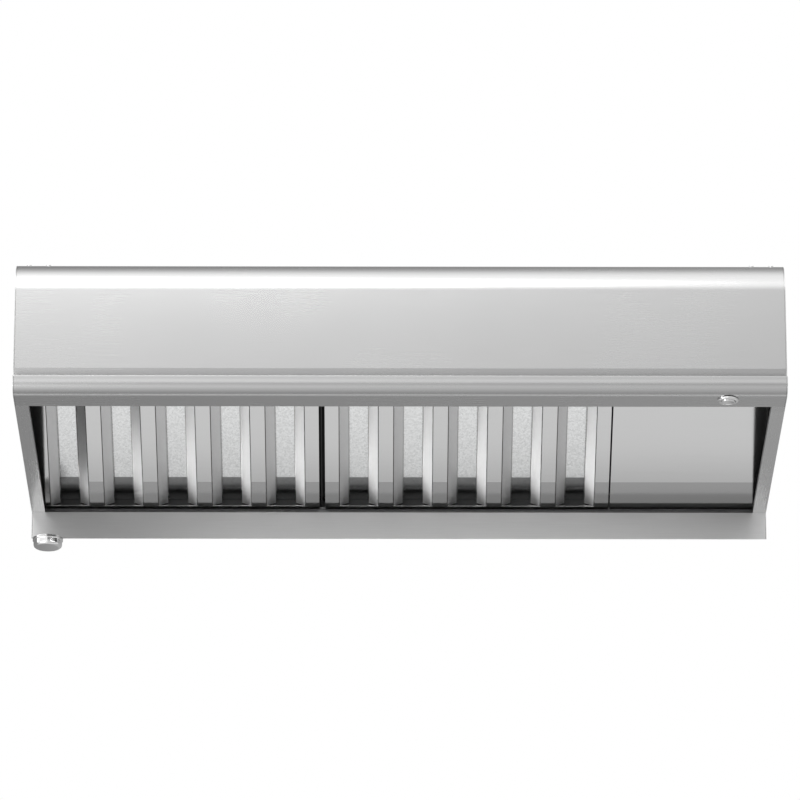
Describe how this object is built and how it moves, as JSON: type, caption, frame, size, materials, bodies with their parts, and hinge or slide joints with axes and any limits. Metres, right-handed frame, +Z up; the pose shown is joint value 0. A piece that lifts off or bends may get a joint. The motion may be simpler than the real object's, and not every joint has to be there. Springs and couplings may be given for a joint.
{
  "type": "under cabinet range hood",
  "caption": "Wide stainless under cabinet range hood with rounded front, slanted baffle filters, blank panel, rear grease trough, blower and round duct collar.",
  "frame": {"origin": "on the top panel's upper face, midway along the width, 305 mm behind the front lip", "axes": "+X to the right seen from the front, -Y to the cook, +Y to the wall, +Z up"},
  "size_m": [1.2192, 0.6096, 0.348],
  "materials": {
    "stainless_steel": "brushed along the width",
    "galvanised_steel": "galvanised, matt grey",
    "chrome": "polished",
    "aluminium": "mill finish",
    "black_plastic": "matt black",
    "white_plastic": "matt white",
    "black_enamel": "baked black enamel",
    "motor_enamel": "dark grey enamel",
    "circuit_board": "green laminate",
    "lens_glass": "frosted"
  },
  "bodies": {
    "hood": {"back_panel": "stainless_steel", "blank_panel": "stainless_steel", "blower_housing_left": "galvanised_steel", "blower_housing_right": "galvanised_steel", "blower_motor": "motor_enamel", "board_spacer": "white_plastic", "button_bezel": "chrome", "button_nut": "aluminium", "button_switch": "black_plastic", "capacitor": "aluminium", "capacitor_clip": "galvanised_steel", "circuit_board": "circuit_board", "control_box": "galvanised_steel", "control_box_lid": "galvanised_steel", "cup_collar": "chrome", "damper_rod_back": "stainless_steel", "damper_rod_front": "stainless_steel", "duct_collar": "galvanised_steel", "filter_channel": "stainless_steel", "filter_divider": "black_plastic", "filter_sill": "stainless_steel", "front_skin": "stainless_steel", "front_stiffener": "galvanised_steel", "grease_trough": "stainless_steel", "lamp_bezel_left": "stainless_steel", "lamp_bezel_right": "stainless_steel", "lamp_board_left": "white_plastic", "lamp_board_right": "white_plastic", "lamp_heat_pad_left": "aluminium", "lamp_heat_pad_right": "aluminium", "lamp_housing_left": "aluminium", "lamp_housing_right": "aluminium", "lamp_lens_left": "lens_glass", "lamp_lens_right": "lens_glass", "lamp_panel": "stainless_steel", "motor_saddle": "galvanised_steel", "outlet_box": "galvanised_steel", "side_panel_left": "stainless_steel", "side_panel_right": "stainless_steel", "skin_screw_1": "stainless_steel", "skin_screw_2": "stainless_steel", "skin_screw_3": "stainless_steel", "skin_screw_4": "stainless_steel", "supply_bushing": "black_plastic", "terminal_block": "black_plastic", "top_panel": "stainless_steel"},
    "filter_left": {"filter_left_frame": "stainless_steel", "filter_left_front_baffles": "stainless_steel", "filter_left_rear_baffles": "galvanised_steel"},
    "filter_right": {"filter_right_frame": "stainless_steel", "filter_right_front_baffles": "stainless_steel", "filter_right_rear_baffles": "galvanised_steel"},
    "rotor": {"blower_shaft": "stainless_steel", "blower_wheel_left": "black_enamel", "blower_wheel_right": "black_enamel"},
    "flap_front": {"damper_flap_front": "aluminium"},
    "flap_back": {"damper_flap_back": "aluminium"},
    "cup": {"grease_cup": "chrome"},
    "push_button": {"button_plunger": "chrome"}
  },
  "joints": [
    {"name": "filter_left_lift", "type": "slide", "parent": "hood", "child": "filter_left", "axis": [0, -0.9063, 0.4226], "range_m": [0, 0.015]},
    {"name": "filter_right_lift", "type": "slide", "parent": "hood", "child": "filter_right", "axis": [0, -0.9063, 0.4226], "range_m": [0, 0.015]},
    {"name": "rotor_spin", "type": "hinge", "parent": "hood", "child": "rotor", "pos_m": [0, 0.225, -0.088], "axis": [1, 0, 0], "continuous": true},
    {"name": "flap_front_hinge", "type": "hinge", "parent": "hood", "child": "flap_front", "pos_m": [0, 0.1805, 0.026], "axis": [-1, 0, 0], "range_deg": [0, 80]},
    {"name": "flap_back_hinge", "type": "hinge", "parent": "hood", "child": "flap_back", "pos_m": [0, 0.1895, 0.026], "axis": [1, 0, 0], "range_deg": [0, 80]},
    {"name": "cup_pull", "type": "slide", "parent": "hood", "child": "cup", "axis": [0, 0, -1], "range_m": [0, 0.03]},
    {"name": "button_press", "type": "slide", "parent": "hood", "child": "push_button", "axis": [0, 0, 1], "range_m": [0, 0.0025], "stiffness_N_per_m": 800, "springref_m": -0.002}
  ]
}
